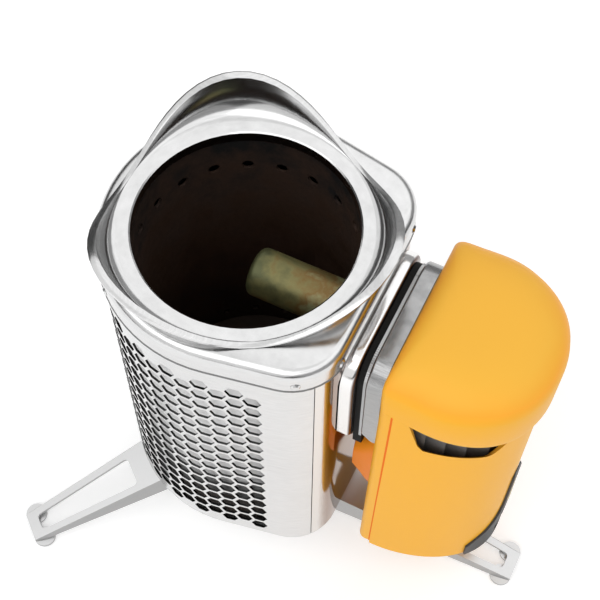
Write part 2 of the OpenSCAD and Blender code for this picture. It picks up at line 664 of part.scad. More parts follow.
function dome(z, grow, wall) = let (
    back = grow * hood_back_share,
    rc = min(hood_bend_x - back_top_x - 1, back_edge + 0.45 * grow) - 0.6 * wall
) [for (p = hood_line(back_top_x + wall + back, rc, hood_bend_x + wall + back, hood_nose_x - grow - wall,
    hood_w - grow - wall)) concat(hood_side(p), z)];
function lipped(z, grow, wall) = let (a = dome(z, 0, wall), b = dome(z, grow, wall))
    [for (i = [0 : len(a) - 1]) let (p = a[i] + (b[i] - a[i]) * overhang(a[i][0]))
        [p[0], p[1], p[2] + edge_z(p[0]) - hood_z]];
function roll(a) =
    [hood_roll * (1 - pow(cos(a), 2 / hood_full)), hood_rise * (1 - pow(sin(a), 2 / hood_full))];
module hood() color(orange) on_axis() {
    bend = [for (i = [7 : -1 : 0]) roll(90 * i / 7)];
    outer = concat([for (g = bend) dome(hood_top_z - g[1], g[0], 0)],
        [lipped(hood_z + 5, 0.4, 0), lipped(hood_z, hood_lip, 0)]);
    inner = concat([lipped(hood_z, hood_lip, shell_t)],
        [for (i = [7 : -1 : 0]) let (g = bend[i]) dome(hood_top_z - g[1] - shell_t, g[0], shell_t)]);
    skin(concat(outer, inner));
}

// Back cover: a drafted tray with a rounded back edge that closes the casing, with a window for the heat sink.
back_edge = 3.5;
cover_corner = 7;
function cover_line(inset, top) = let (
    r = cover_corner - inset,
    w = case_w - inset,
    foot = [for (c = [[-1, 180], [1, 270]], i = [0 : corner_points - 1])
        [c[0] * (w - r), case_z + inset + r] + polar(r, c[1] + 90 * i / (corner_points - 1))]
) concat(foot, [[case_top_w - inset, top], [inset - case_top_w, top]]);
sink_margin = 10;
sink_w = case_w - sink_margin;
sink_z0 = dock_z0 + 8;
sink_z1 = hood_z - 1;
fin_top = hood_z + 13;
module back_cover() color(orange) on_axis() difference() {
    rows = concat([[parting_x, 0]], [for (i = [0 : edge_steps]) let (b = 90 * i / edge_steps)
        [cover_x + back_edge * (1 - sin(b)), back_edge * (1 - cos(b))]]);
    skin([for (q = rows) [for (p = cover_line(q[1], edge_z(q[0] + lean(hood_z)) - seat_gap))
        concat(q[0] + lean(p[1]), p)]]);
    along_x(seat_x) linear_extrude(cover_t + back_lean) polygon(cover_line(shell_t, hood_top_z));
    translate([cover_x - cover_t, -sink_w - seat_gap, sink_z0 - seat_gap])
        cube([3 * cover_t, 2 * (sink_w + seat_gap), hood_z - sink_z0 + 2]);
    translate([cover_x - cover_t, -inlet_w, inlet_z - inlet_h]) cube([3 * cover_t, 2 * inlet_w, 2 * inlet_h]);
}

// Metal frame between the seal and the casing, cut on a slant below.
frame_round = 1.2;
frame_corner = 12;
frame_low_corner = 4;
module metal_frame() color([0.6, 0.61, 0.62]) on_axis() difference() {
    plate(frame_x + frame_t, frame_x, frame_round, frame_w, frame_z0 - frame_slant, frame_z1, frame_corner,
        frame_low_corner);
    along_x(frame_x - 1) translate([-teg_w - seat_gap, probe_z - teg_h - seat_gap])
        linear_extrude(frame_t + 2) square([2 * (teg_w + seat_gap), 2 * (teg_h + seat_gap)]);
    translate([frame_x, -50, frame_z0 + frame_slant]) rotate([0, 45, 0]) translate([-20, 0, -20])
        cube([60, 100, 20]);
}

// Black seal between dock and frame.
module dock_seal() color(charcoal) on_axis() difference() {
    along_x(seal_x) linear_extrude(seal_t - 2 * seat_gap)
        rounded_rect(dock_w - 4, dock_z0 - seal_hang, dock_z1 - 1.2, dock_corner - 3, 3);
    along_x(seal_x - 1) translate([0, probe_z]) cylinder(r = probe_r + 1, h = seal_t + 2);
}

// Copper heat probe with its square foot in the metal frame.
teg_w = 15;
teg_h = min(15, frame_z1 - 2 - probe_z);
probe_foot = 2.5;
module heat_probe() color([0.45, 0.4, 0.22]) on_axis() {
    tip_r = 3;
    length = frame_x - probe_tip_x;
    translate([frame_x, 0, probe_z]) rotate([0, -90, 0]) rotate_extrude() {
        square([probe_r, length - tip_r]);
        square([probe_r - tip_r, length]);
        translate([probe_r - tip_r, length - tip_r]) circle(r = tip_r);
    }
    along_x(frame_x) translate([-teg_w, probe_z - teg_h]) linear_extrude(probe_foot) square([2 * teg_w, 2 * teg_h]);
}

// Thermoelectric plate between the probe's foot and the heat sink.
teg_x = frame_x + probe_foot + seat_gap;
teg_t = 3.6;
module thermo_plate() color([0.93, 0.93, 0.9]) on_axis()
    along_x(teg_x) translate([-teg_w, probe_z - teg_h]) linear_extrude(teg_t) square([2 * teg_w, 2 * teg_h]);

// Finned heat sink behind the thermoelectric plate.
sink_x = frame_x + frame_t + seat_gap;
sink_base = cover_t + 2;
fin_len = 20;
module heat_sink() color(pale_alloy) on_axis() {
    translate([sink_x, -sink_w, sink_z0]) cube([sink_base, 2 * sink_w, sink_z1 - sink_z0]);
    translate([teg_x + teg_t + seat_gap, -teg_w, probe_z - teg_h])
        cube([sink_x - teg_x - teg_t - seat_gap + 1, 2 * teg_w, sink_z1 - probe_z + teg_h]);
    for (i = [0 : fin_count - 1]) let (y = -sink_w + 1 + (2 * sink_w - 2) * i / (fin_count - 1))
        translate([sink_x + sink_base - 1, y - 0.8, sink_z0 + 4])
            cube([fin_len + 1, 1.6, fin_top - sink_z0 - 4]);
}

// Dark louvres behind the vents: a saw-tooth strip that follows the wall.
grille_t = 1.4;
grille_z = edge_z(nose_x) - vent_h - 8;
louvres = 5;
louvre_rake = 2.4;
function wall_at(x) = let (
    t = (grille_z - case_z) / (hood_z - case_z),
    inset = shell_t + slide_gap,
    across = (x - case_bend_x) / (nose_x + case_draft * t - inset - case_bend_x),
    reach = pow(across, case_p / 2)
) [x, (case_w + case_draft * t - inset) * pow(1 - reach * reach, 1 / case_q)];
module vent_grille() color(charcoal) on_axis() for (side = [0, 1]) mirror([0, side, 0]) {
    first = vent_from - 3;
    tooth = (nose_x - shell_t - slide_gap - 0.2 - first) / louvres;
    tips = [for (k = [0 : louvres]) wall_at(first + tooth * k)];
    inward = [for (k = [0 : louvres]) let (d = wall_at(first + tooth * k + 0.1) - wall_at(first + tooth * k - 0.1))
        [d[1], -d[0]] / norm(d)];
    roots = [for (k = [0 : louvres]) tips[k] + inward[k] * louvre_rake];
    backs = [for (k = [0 : louvres]) tips[k] + inward[k] * (louvre_rake + grille_t)];
    difference() {
        translate([0, 0, grille_z]) linear_extrude(hood_top_z - grille_z)
            polygon(concat([for (k = [0 : louvres - 1], q = [roots[k], tips[k + 1]]) q],
                [for (k = [louvres : -1 : 0]) backs[k]]));
        translate([cover_x, -case_w, edge_z(cover_x) - seat_gap]) rotate([0, atan(hood_rake / case_d), 0])
            cube([2 * case_d, 4 * case_w, 2 * hood_h]);
    }
}

// Fan: a ring on the casing's back cover with a bearing hub, and a bladed rotor on its shaft.
fan_z = inlet_z;
fan_x = seat_x + seat_gap;
fan_t = 12;
spider_t = 2.5;
hub_r = 7;
shaft_r = 1;
module fan_ring() color([0.2, 0.2, 0.21]) on_axis() along_x(fan_x) translate([0, fan_z]) difference() {
    union() {
        linear_extrude(fan_t) difference() {
            translate([-fan_r - 3, -fan_r - 3]) square(2 * fan_r + 6);
            circle(r = fan_r);
        }
        translate([0, 0, fan_t - spider_t - 0.3]) {
            cylinder(r = hub_r, h = spider_t);
            for (a = [45 : 90 : 315]) rotate(a) translate([hub_r - 1, -1.2, 0.2])
                cube([fan_r - hub_r + 3, 2.4, spider_t - 0.4]);
        }
    }
    cylinder(r = shaft_r + run_gap, h = fan_t + 2);
    for (y = [-fan_r, fan_r], z = [-fan_r, fan_r]) translate([y, z, -1])
        cylinder(r = screw_r + seat_gap, h = fan_t + 2);
}
module fan_rotor() color(charcoal) on_axis() along_x(fan_x) translate([0, fan_z]) {
    depth = fan_t - spider_t - 0.3 - slide_gap;
    cylinder(r = hub_r, h = depth);
    cylinder(r = shaft_r, h = fan_t - 0.3);
    for (i = [0 : fan_blades - 1]) rotate(360 * i / fan_blades) rotate([32, 0, 0])
        translate([hub_r - 1, -0.7, 2.4]) cube([fan_r - hub_r, 1.4, depth * 0.55]);
}

// Screws through the fan ring's corners.
screw_r = 1.2;
module fan_screws() color(steel) on_axis()
    for (y = [-fan_r, fan_r], z = [-fan_r, fan_r]) along_x(fan_x) translate([y, fan_z + z]) {
        cylinder(r = screw_r, h = fan_t + seat_gap);
        translate([0, 0, fan_t + seat_gap]) cylinder(r = 2.2, h = 1.4);
    }

// Air duct: a funnel from the back cover to the body's inlet.
module air_duct() color([0.9, 0.5, 0.12]) on_axis() {
    wall = 2;
    x0 = flat_x + slide_gap;
    x1 = cover_x - seat_gap;
    low = inlet_z - inlet_h - wall;
    high = inlet_z + inlet_h + wall;
    rows = [[x1, 15, 14, 13, 12, 1], [x1 - 3, 14.5, 12, 11, 12, 1], [x1 - 6, 14, 8, 6, 11, 0.6],
        [x1 - 11, 13, 2, 0, 9, 0.2], [x0 + 3, 2, 1, 0, 6, 0], [x0, 0, 0, 0, 5, 0]];
    difference() {
        skin([for (q = rows) [for (p = rounded_line(inlet_w + wall + q[1], low - q[2], high + q[3], q[4], q[4]))
            concat(q[0] + q[5] * lean(p[1]), p)]]);
        translate([x0 - 1, -inlet_w, inlet_z - inlet_h]) cube([x1 - x0 + 2, 2 * inlet_w, 2 * inlet_h]);
    }
}

// Battery cell, its cradle and the circuit board.
cell_x = nose_x - 22;
cell_z = shell_floor + 4;
module battery_cell() color([0.25, 0.4, 0.3]) on_axis() translate([cell_x, 0, cell_z]) {
    cylinder(r = cell_r, h = cell_l - 1.5);
    cylinder(r = 3, h = cell_l);
}
module battery_cradle() color(charcoal) on_axis() difference() {
    translate([cell_x - cell_r - 2, -cell_r - 2, shell_floor + seat_gap])
        cube([2 * cell_r + 4, 2 * cell_r + 4, 18]);
    translate([cell_x, 0, cell_z - seat_gap]) cylinder(r = cell_r + seat_gap, h = 30);
}
board_x = cell_x - cell_r - 2 - seat_gap;
board_t = 1.6;
module circuit_board() color([0.1, 0.35, 0.2]) on_axis()
    translate([board_x - board_t, -22, shell_floor + seat_gap]) cube([board_t, 44, 76]);

// Dark dashboard wrapped over the lower nose, with button, lights and socket.
light_r = 1.8;
function light_z(i) = case_z + button_h + 13 + 6 * i;
usb_w = 7.5;
usb_h = 4;
usb_z = case_z + 12;
dash_rows = 14;
dash_fall = 28;
dash_tip = 8;
dash_span = [for (i = [0 : 16]) 180 * dash_wrap * (i / 8 - 1) / 2];
function dash_taper(z) = let (
    up = z - case_z - case_round,
    fall = max(0, 1 - max(0, up - dash_foot_h) / dash_fall),
    end = max(0, (up - dash_h) / dash_tip + 0.75)
) (dash_strip + (1 - dash_strip) * fall * fall) * sqrt(1 - end * end);
function dash_row(z, grow) = let (t = (z - case_z) / (hood_z - case_z), k = dash_taper(z))
    [for (s = dash_span) let (a = k * s, p = nose(90 - abs(a), case_bend_x, nose_x + case_draft * t + grow,
        case_w + case_draft * t + grow, case_p, case_q)) concat([p[0], a < 0 ? -p[1] : p[1]], z)];
module dashboard() color(charcoal) on_axis() difference() {
    levels = [for (k = [0 : dash_rows]) case_z + case_round + dash_h * k / dash_rows];
    skin([for (k = [dash_rows : -1 : 0]) let (
        z = levels[k],
        out = dash_row(z, k == dash_rows ? 0.5 : dash_t),
        inn = dash_row(z, 2 * seat_gap)
    ) concat(out, [for (i = [16 : -1 : 0]) inn[i]])]);
    along_x(nose_x - 12) translate([0, case_z + button_h]) cylinder(r = button_r + slide_gap, h = 30);
    for (i = [0 : light_count - 1]) along_x(nose_x - 12) translate([0, light_z(i)])
        cylinder(r = light_r + seat_gap, h = 30);
    translate([nose_x - 20, -usb_w - seat_gap, usb_z - usb_h - seat_gap])
        cube([40, 2 * (usb_w + seat_gap), 2 * (usb_h + seat_gap)]);
}
face_x = nose_x + dash_t;
module power_button() color([0.3, 0.3, 0.31]) on_axis() along_x(face_x - 4) translate([0, case_z + button_h]) {
    cylinder(r = button_r, h = 4);
    translate([0, 0, 4]) cylinder(r1 = button_r, r2 = button_r - 0.5, h = 0.5);
}
module switch_block() color([0.15, 0.15, 0.16]) on_axis() {
    x1 = face_x - 4 - button_travel - seat_gap;
    x0 = cell_x + cell_r + 2 + seat_gap;
    translate([x0, -4, case_z + button_h - 4]) cube([x1 - x0, 8, 8]);
}
module indicator_lights() color([0.95, 0.85, 0.6]) on_axis() for (i = [0 : light_count - 1])
    along_x(face_x - 4.5) translate([0, light_z(i)]) cylinder(r = light_r, h = 5.4);
module usb_socket() color([0.62, 0.62, 0.64]) on_axis() difference() {
    x0 = cell_x + cell_r + 2 + seat_gap;
    translate([x0, -usb_w, usb_z - usb_h]) cube([face_x - x0 - 0.6, 2 * usb_w, 2 * usb_h]);
    translate([face_x - 9, -usb_w + 1, usb_z - usb_h + 1]) cube([20, 2 * usb_w - 2, 2 * usb_h - 2]);
}

burn_chamber();
chamber_floor();
air_jacket();
heat_mesh();
back_panel();
base_pan();
top_cap();
pot_ring();
cap_rivets();
dock_frame();
leg_brackets();
hinge_pins();
leg_front();
leg_left();
leg_right();
dock_seal();
metal_frame();
heat_probe();
thermo_plate();
heat_sink();
back_cover();
front_shell();
hood();
vent_grille();
dashboard();
power_button();
switch_block();
indicator_lights();
usb_socket();
air_duct();
fan_ring();
fan_rotor();
fan_screws();
battery_cell();
battery_cradle();
circuit_board();
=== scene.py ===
"""Looks of a twig stove with a docked power module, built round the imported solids."""

import json
import math

import bmesh
import bpy
from mathutils import Matrix, Vector
from mathutils.geometry import convex_hull_2d


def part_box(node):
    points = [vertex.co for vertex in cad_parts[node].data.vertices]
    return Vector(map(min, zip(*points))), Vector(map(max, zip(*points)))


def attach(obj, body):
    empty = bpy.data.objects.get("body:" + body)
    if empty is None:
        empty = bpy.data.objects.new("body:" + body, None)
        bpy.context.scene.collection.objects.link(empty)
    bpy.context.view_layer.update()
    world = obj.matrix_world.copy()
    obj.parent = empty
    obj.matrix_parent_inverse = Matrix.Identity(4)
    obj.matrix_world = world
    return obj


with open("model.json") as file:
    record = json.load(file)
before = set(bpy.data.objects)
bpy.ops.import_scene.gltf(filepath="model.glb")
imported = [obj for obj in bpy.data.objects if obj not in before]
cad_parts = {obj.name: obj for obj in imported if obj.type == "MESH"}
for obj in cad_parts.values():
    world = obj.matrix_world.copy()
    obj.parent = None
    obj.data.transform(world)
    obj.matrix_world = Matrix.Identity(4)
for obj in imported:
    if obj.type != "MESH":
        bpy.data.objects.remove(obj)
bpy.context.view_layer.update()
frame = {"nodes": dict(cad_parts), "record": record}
nodes = frame["nodes"]

MM = 0.001

# The chamber's axis and the levels that materials and details refer to.
chamber_lo, chamber_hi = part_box("burn_chamber")
AXIS_X = (chamber_lo.x + chamber_hi.x) / 2
MOUTH_Z = chamber_hi.z
FLOOR_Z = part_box("chamber_floor")[1].z
PROBE_TIP_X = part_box("heat_probe")[0].x
PROBE_TINT_LENGTH = 66 * MM

# Most values of a noise lie between these two.
NOISE_LOW = 0.3
NOISE_HIGH = 0.7

# Scales of the noise for surface marks, which run along the axes that have the smallest scale.
BRUSHED_ROUND = (40, 40, 900)
BRUSHED_ACROSS = (900, 40, 40)
PRESSED_GRAIN = (500, 500, 40)

# Share of the broad clouds in the tone of brushed metal; the rest is its fine marks.
BROAD_SHARE = 0.2


# Node helpers


def new_material(name):
    mat = bpy.data.materials.new(name)
    mat.use_nodes = True
    tree = mat.node_tree
    return mat, tree, tree.nodes["Principled BSDF"]


def add(tree, kind, links=None, **settings):
    """A node with its settings, whose inputs are linked to the given sockets."""
    node = tree.nodes.new(kind)
    for key, value in settings.items():
        setattr(node, key, value)
    for name, socket in (links or {}).items():
        tree.links.new(socket, node.inputs[name])
    return node


def object_coords(tree, scale=(1, 1, 1)):
    coords = add(tree, "ShaderNodeTexCoord")
    mapping = add(tree, "ShaderNodeMapping", {"Vector": coords.outputs["Object"]})
    mapping.inputs["Scale"].default_value = scale
    return mapping.outputs["Vector"]


def axis_part(tree, vector, axis):
    return add(tree, "ShaderNodeSeparateXYZ", {"Vector": vector}).outputs[axis]


def facing(tree, axis):
    """How far a surface faces along an axis, from -1 to 1."""
    return axis_part(tree, add(tree, "ShaderNodeNewGeometry").outputs["Normal"], axis)


def radial_facing(tree):
    """How far a face looks away from the chamber's axis: 1 is outward and -1 inward."""
    geometry = add(tree, "ShaderNodeNewGeometry")
    spoke = add(tree, "ShaderNodeVectorMath", {0: object_coords(tree)}, operation="SUBTRACT")
    spoke.inputs[1].default_value = (AXIS_X, 0, 0)
    level = add(tree, "ShaderNodeVectorMath", {0: spoke.outputs[0]}, operation="MULTIPLY")
    level.inputs[1].default_value = (1, 1, 0)
    unit = add(tree, "ShaderNodeVectorMath", {0: level.outputs[0]}, operation="NORMALIZE")
    turn = add(tree, "ShaderNodeVectorMath", {0: unit.outputs[0]}, operation="DOT_PRODUCT")
    tree.links.new(geometry.outputs["True Normal"], turn.inputs[1])
    return turn.outputs["Value"]


def total(tree, first, second):
    return add(tree, "ShaderNodeMath", {0: first, 1: second}, operation="ADD").outputs[0]


def unsigned(tree, value):
    return add(tree, "ShaderNodeMath", {0: value}, operation="ABSOLUTE").outputs[0]


def noise(tree, vector, scale, detail, roughness=0.5):
    node = add(tree, "ShaderNodeTexNoise", {"Vector": vector})
    node.inputs["Scale"].default_value = scale
    node.inputs["Detail"].default_value = detail
    node.inputs["Roughness"].default_value = roughness
    return node.outputs["Fac"]


def ramp(tree, fac, stops):
    """Colours along a value: each stop is a place and a colour."""
    node = add(tree, "ShaderNodeValToRGB", {"Fac": fac})
    elements = node.color_ramp.elements
    while len(elements) < len(stops):
        elements.new(0.5)
    for element, (place, color) in zip(elements, stops):
        element.position = place
        element.color = (*color, 1)
    return node.outputs["Color"]


def span(tree, value, low, high, to_low, to_high):
    """A value between low and high, carried over to another range and held there."""
    node = add(tree, "ShaderNodeMapRange", {"Value": value})
    node.inputs["From Min"].default_value = low
    node.inputs["From Max"].default_value = high
    node.inputs["To Min"].default_value = to_low
    node.inputs["To Max"].default_value = to_high
    return node.outputs["Result"]


def spread(tree, grain, to_low, to_high):
    """A noise carried over to a range of its own."""
    return span(tree, grain, NOISE_LOW, NOISE_HIGH, to_low, to_high)


def varied(tree, grain, middle, share):
    """A value that a noise moves up and down by a share of itself."""
    return spread(tree, grain, middle * (1 - share), middle * (1 + share))


def over_dark(tree, fac, dark, color):
    """A colour that gives way to a dark grey where fac is 0."""
    node = add(tree, "ShaderNodeMix", data_type="RGBA")
    tree.links.new(fac, node.inputs["Factor"])
    node.inputs["A"].default_value = (*grey(dark), 1)
    tree.links.new(color, node.inputs["B"])
    return node.outputs["Result"]


def bump(tree, height, strength, distance):
    node = add(tree, "ShaderNodeBump", {"Height": height})
    node.inputs["Strength"].default_value = strength
    node.inputs["Distance"].default_value = distance
    return node.outputs["Normal"]


def grey(level):
    return (level, level, level)


def dress(tree, bsdf, color, rough, relief, metallic=0.0):
    """Give a surface its colour, roughness and relief, and say how metallic it is."""
    tree.links.new(color, bsdf.inputs["Base Color"])
    tree.links.new(rough, bsdf.inputs["Roughness"])
    tree.links.new(relief, bsdf.inputs["Normal"])
    bsdf.inputs["Metallic"].default_value = metallic


# Materials


def brushed_metal(name, dark, light, rough):
    """Metal with fine streaks that vary its tone, its roughness and its surface."""
    mat, tree, bsdf = new_material(name)
    fine = noise(tree, object_coords(tree, BRUSHED_ROUND), scale=4.0, detail=4.0)
    broad = noise(tree, object_coords(tree), scale=22.0, detail=2.0)
    blend = add(tree, "ShaderNodeMix", {"A": fine, "B": broad}, data_type="FLOAT")
    blend.inputs["Factor"].default_value = BROAD_SHARE
    tone = blend.outputs["Result"]
    color = ramp(tree, tone, ((NOISE_LOW, dark), (NOISE_HIGH, light)))
    relief = bump(tree, fine, strength=0.25, distance=0.02 * MM)
    dress(tree, bsdf, color, varied(tree, tone, rough, 0.2), relief, metallic=1.0)
    return mat


def punched_steel_with_painted_shade(name, dark, light, rough):
    """Brushed sheet round the chamber's axis, with painted shade: dark on the cut walls of its holes."""
    mat = brushed_metal(name, dark, light, rough)
    tree = mat.node_tree
    base = tree.nodes["Principled BSDF"].inputs["Base Color"]
    sheet = base.links[0].from_socket
    # Painted shade: the cut walls of the holes, which face across the axis, go dark grey.
    clear_of_painted_shade = span(tree, unsigned(tree, radial_facing(tree)), 0.25, 0.45, 0, 1)
    tree.links.new(over_dark(tree, clear_of_painted_shade, 0.07, sheet), base)
    return mat


def jacket_steel_painted_shade(name):
    """Inner sleeve with painted light and shade: bright behind the mesh, dark towards its foot and near
    black on its inside.
    """
    mat, tree, bsdf = new_material(name)
    low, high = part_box("air_jacket")
    height = axis_part(tree, object_coords(tree), "Z")
    level = span(tree, height, low.z, high.z, 0.0, 1.0)
    fine = noise(tree, object_coords(tree, BRUSHED_ROUND), scale=4.0, detail=4.0)
    # Painted light and shade up the sleeve: near black at its foot, bright higher up.
    stops = ((0.03, grey(0.02)), (0.1, grey(0.07)), (0.17, grey(0.75)), (0.5, grey(0.95)))
    sleeve_with_painted_light = ramp(tree, total(tree, level, spread(tree, fine, -0.05, 0.05)), stops)
    # Painted shade: the inner face goes near black.
    outer_face_clear_of_shade = span(tree, radial_facing(tree), -0.2, 0.2, 0, 1)
    color = over_dark(tree, outer_face_clear_of_shade, 0.02, sleeve_with_painted_light)
    relief = bump(tree, fine, strength=0.2, distance=0.02 * MM)
    dress(tree, bsdf, color, spread(tree, fine, 0.28, 0.4), relief, metallic=0.4)
    return mat


def pressed_alloy_painted_shade(name, top, side, rough):
    """Satin alloy with painted shade: bright on the faces that look up, darker on its bent sides and cut
    edges.
    """
    mat, tree, bsdf = new_material(name)
    fine = noise(tree, object_coords(tree, PRESSED_GRAIN), scale=3.0, detail=3.0)
    level = total(tree, unsigned(tree, facing(tree, "Z")), spread(tree, fine, -0.03, 0.03))
    # Painted shade: faces that turn away from up and down get the darker side tone.
    color = ramp(tree, level, ((0.45, side), (0.95, top)))
    relief = bump(tree, fine, strength=0.1, distance=0.01 * MM)
    dress(tree, bsdf, color, varied(tree, fine, rough, 0.1), relief, metallic=1.0)
    return mat


def steel_with_painted_reflection(name, face, edge, rough, start, full):
    """Polished steel with painted reflection and shade: brown on the sides that face along the dock's
    axis.
    """
    mat, tree, bsdf = new_material(name)
    fine = noise(tree, object_coords(tree, BRUSHED_ACROSS), scale=4.0, detail=4.0)
    along = total(tree, unsigned(tree, facing(tree, "X")), spread(tree, fine, -0.01, 0.01))
    # Painted reflection and shade: faces that look along the dock's axis turn brown.
    color = ramp(tree, along, ((start, face), (full, edge)))
    relief = bump(tree, fine, strength=0.15, distance=0.01 * MM)
    dress(tree, bsdf, color, varied(tree, fine, rough, 0.2), relief, metallic=1.0)
    return mat


def sooted_metal(name):
    """Steel that heat has darkened, browner half way up and black with soot under the mouth."""
    mat, tree, bsdf = new_material(name)
    coords = object_coords(tree)
    level = span(tree, axis_part(tree, coords, "Z"), FLOOR_Z, MOUTH_Z, 0.0, 0.9)
    patches = noise(tree, coords, scale=60.0, detail=6.0, roughness=0.65)
    stops = (
        (0.0, (0.050, 0.034, 0.026)),
        (0.4, (0.120, 0.066, 0.042)),
        (0.7, (0.085, 0.052, 0.038)),
        (0.95, (0.016, 0.015, 0.015)),
    )
    color = ramp(tree, total(tree, level, span(tree, patches, 0.25, 0.75, -0.22, 0.22)), stops)
    relief = bump(tree, patches, strength=0.3, distance=0.2 * MM)
    dress(tree, bsdf, color, spread(tree, patches, 0.42, 0.75), relief, metallic=0.6)
    return mat


def tinted_copper(name):
    """Copper that heat has coloured in patches of olive and bronze along the probe."""
    mat, tree, bsdf = new_material(name)
    coords = object_coords(tree)
    along = axis_part(tree, coords, "X")
    place = span(tree, along, PROBE_TIP_X, PROBE_TIP_X + PROBE_TINT_LENGTH, 0.0, 1.0)
    patches = noise(tree, coords, scale=70.0, detail=5.0, roughness=0.6)
    stops = (
        (0.0, (0.10, 0.105, 0.045)),
        (0.25, (0.21, 0.19, 0.075)),
        (0.45, (0.21, 0.125, 0.038)),
        (0.65, (0.30, 0.30, 0.15)),
        (1.0, (0.13, 0.13, 0.075)),
    )
    color = ramp(tree, total(tree, place, spread(tree, patches, -0.3, 0.3)), stops)
    relief = bump(tree, patches, strength=0.15, distance=0.1 * MM)
    dress(tree, bsdf, color, spread(tree, patches, 0.38, 0.6), relief, metallic=0.6)
    return mat


def moulded_plastic_painted_light(name, top, edge, side, rough):
    """Moulded plastic with a fine grain and painted light and shade: top, rounded edges and sides get lit
    and shaded tones of one colour.
    """
    mat, tree, bsdf = new_material(name)
    coords = object_coords(tree)
    cloud = noise(tree, coords, scale=30.0, detail=3.0)
    level = total(tree, facing(tree, "Z"), spread(tree, cloud, -0.06, 0.06))
    # Painted light and shade: the tone follows how far a face looks up.
    color = ramp(tree, level, ((0.1, side), (0.55, edge), (0.95, top)))
    speck = noise(tree, coords, scale=2600.0, detail=2.0)
    relief = bump(tree, speck, strength=0.12, distance=0.06 * MM)
    dress(tree, bsdf, color, varied(tree, speck, rough, 0.1), relief)
    bsdf.inputs["Specular IOR Level"].default_value = 0.2
    return mat


def plain_coat(name, dark, light, rough, gloss=0.5):
    """A matt surface with a fine grain in tone and relief."""
    mat, tree, bsdf = new_material(name)
    speck = noise(tree, object_coords(tree), scale=1500.0, detail=3.0)
    color = ramp(tree, speck, ((NOISE_LOW, dark), (NOISE_HIGH, light)))
    relief = bump(tree, speck, strength=0.15, distance=0.08 * MM)
    dress(tree, bsdf, color, varied(tree, speck, rough, 0.1), relief)
    bsdf.inputs["Specular IOR Level"].default_value = gloss
    return mat


# The orange's lit top and its shaded rounded edges and sides paint light and shade.
ORANGE_LIT_TOP = (0.95, 0.5, 0.055)
ORANGE_SHADED_EDGE = (1.0, 0.43, 0.035)
ORANGE_SHADED_SIDE = (0.93, 0.45, 0.016)
# Painted shade: the duct's deeper orange stands for the shade it sits in.
DUCT_SHADED_TOP = (0.92, 0.31, 0.015)
DUCT_SHADED_SIDE = (0.90, 0.25, 0.008)
CERAMIC_DARK = (0.80, 0.80, 0.77)
CERAMIC_LIGHT = (0.88, 0.88, 0.85)
LENS_DARK = (0.80, 0.70, 0.45)
LENS_LIGHT = (0.9, 0.8, 0.55)
WRAP_DARK = (0.05, 0.15, 0.08)
WRAP_LIGHT = (0.07, 0.2, 0.1)
BOARD_DARK = (0.02, 0.12, 0.05)
BOARD_LIGHT = (0.03, 0.16, 0.07)
PANEL_STEEL = (0.72, 0.70, 0.68)
# Painted reflection of the module on the panel's faces that look along the dock's axis.
PANEL_PAINTED_REFLECTION = (0.33, 0.235, 0.19)
DOCK_STEEL = (0.84, 0.83, 0.82)
# Painted shade and reflection on the dock's faces that look along its axis.
DOCK_PAINTED_SHADE = (0.13, 0.085, 0.07)
# Painted shade: the deeper orange of the strip that fills the parting line's groove.
GROOVE_SHADE_DARK = (0.82, 0.15, 0.006)
GROOVE_SHADE_LIGHT = (0.88, 0.18, 0.008)

LOOKS = {
    "satin_steel": brushed_metal("satin_steel", grey(0.62), grey(0.74), rough=0.22),
    "bright_steel": brushed_metal("bright_steel", grey(0.6), grey(0.7), rough=0.17),
    "sooted_steel": sooted_metal("sooted_steel"),
    "leg_alloy": pressed_alloy_painted_shade("leg_alloy", grey(0.67), grey(0.42), rough=0.36),
    "pin_steel": brushed_metal("pin_steel", grey(0.5), grey(0.6), rough=0.3),
    "seal_rubber": plain_coat("seal_rubber", grey(0.006), grey(0.014), rough=0.7, gloss=0.15),
    "frame_alloy": brushed_metal("frame_alloy", grey(0.28), grey(0.44), rough=0.24),
    "probe_copper": tinted_copper("probe_copper"),
    "ceramic": plain_coat("ceramic", CERAMIC_DARK, CERAMIC_LIGHT, rough=0.6),
    "orange_plastic": moulded_plastic_painted_light("orange_plastic", ORANGE_LIT_TOP, ORANGE_SHADED_EDGE, ORANGE_SHADED_SIDE, rough=0.42),
    "dark_plastic": plain_coat("dark_plastic", grey(0.018), grey(0.035), rough=0.5),
    "lens": plain_coat("lens", LENS_DARK, LENS_LIGHT, rough=0.15),
    "socket_steel": brushed_metal("socket_steel", grey(0.45), grey(0.55), rough=0.3),
    "cell_wrap": plain_coat("cell_wrap", WRAP_DARK, WRAP_LIGHT, rough=0.3),
    "board": plain_coat("board", BOARD_DARK, BOARD_LIGHT, rough=0.45),
}

# Pieces whose finish differs from that of their slot.
OWN_LOOKS = {
    "back_panel": steel_with_painted_reflection(
        "panel_with_painted_reflection", PANEL_STEEL, PANEL_PAINTED_REFLECTION, rough=0.08, start=0.85, full=0.95
    ),
    "dock_frame": steel_with_painted_reflection(
        "dock_with_painted_shade", DOCK_STEEL, DOCK_PAINTED_SHADE, rough=0.16, start=0.3, full=0.65
    ),
    "air_jacket": jacket_steel_painted_shade("jacket_steel_painted_shade"),
    "heat_mesh": punched_steel_with_painted_shade("punched_steel_with_painted_shade", grey(0.62), grey(0.74), rough=0.22),
    "air_duct": moulded_plastic_painted_light("duct_plastic_painted_shade", DUCT_SHADED_TOP, DUCT_SHADED_TOP, DUCT_SHADED_SIDE, rough=0.42),
    "vent_grille": plain_coat("louvre_plastic", grey(0.10), grey(0.16), rough=0.35),
}

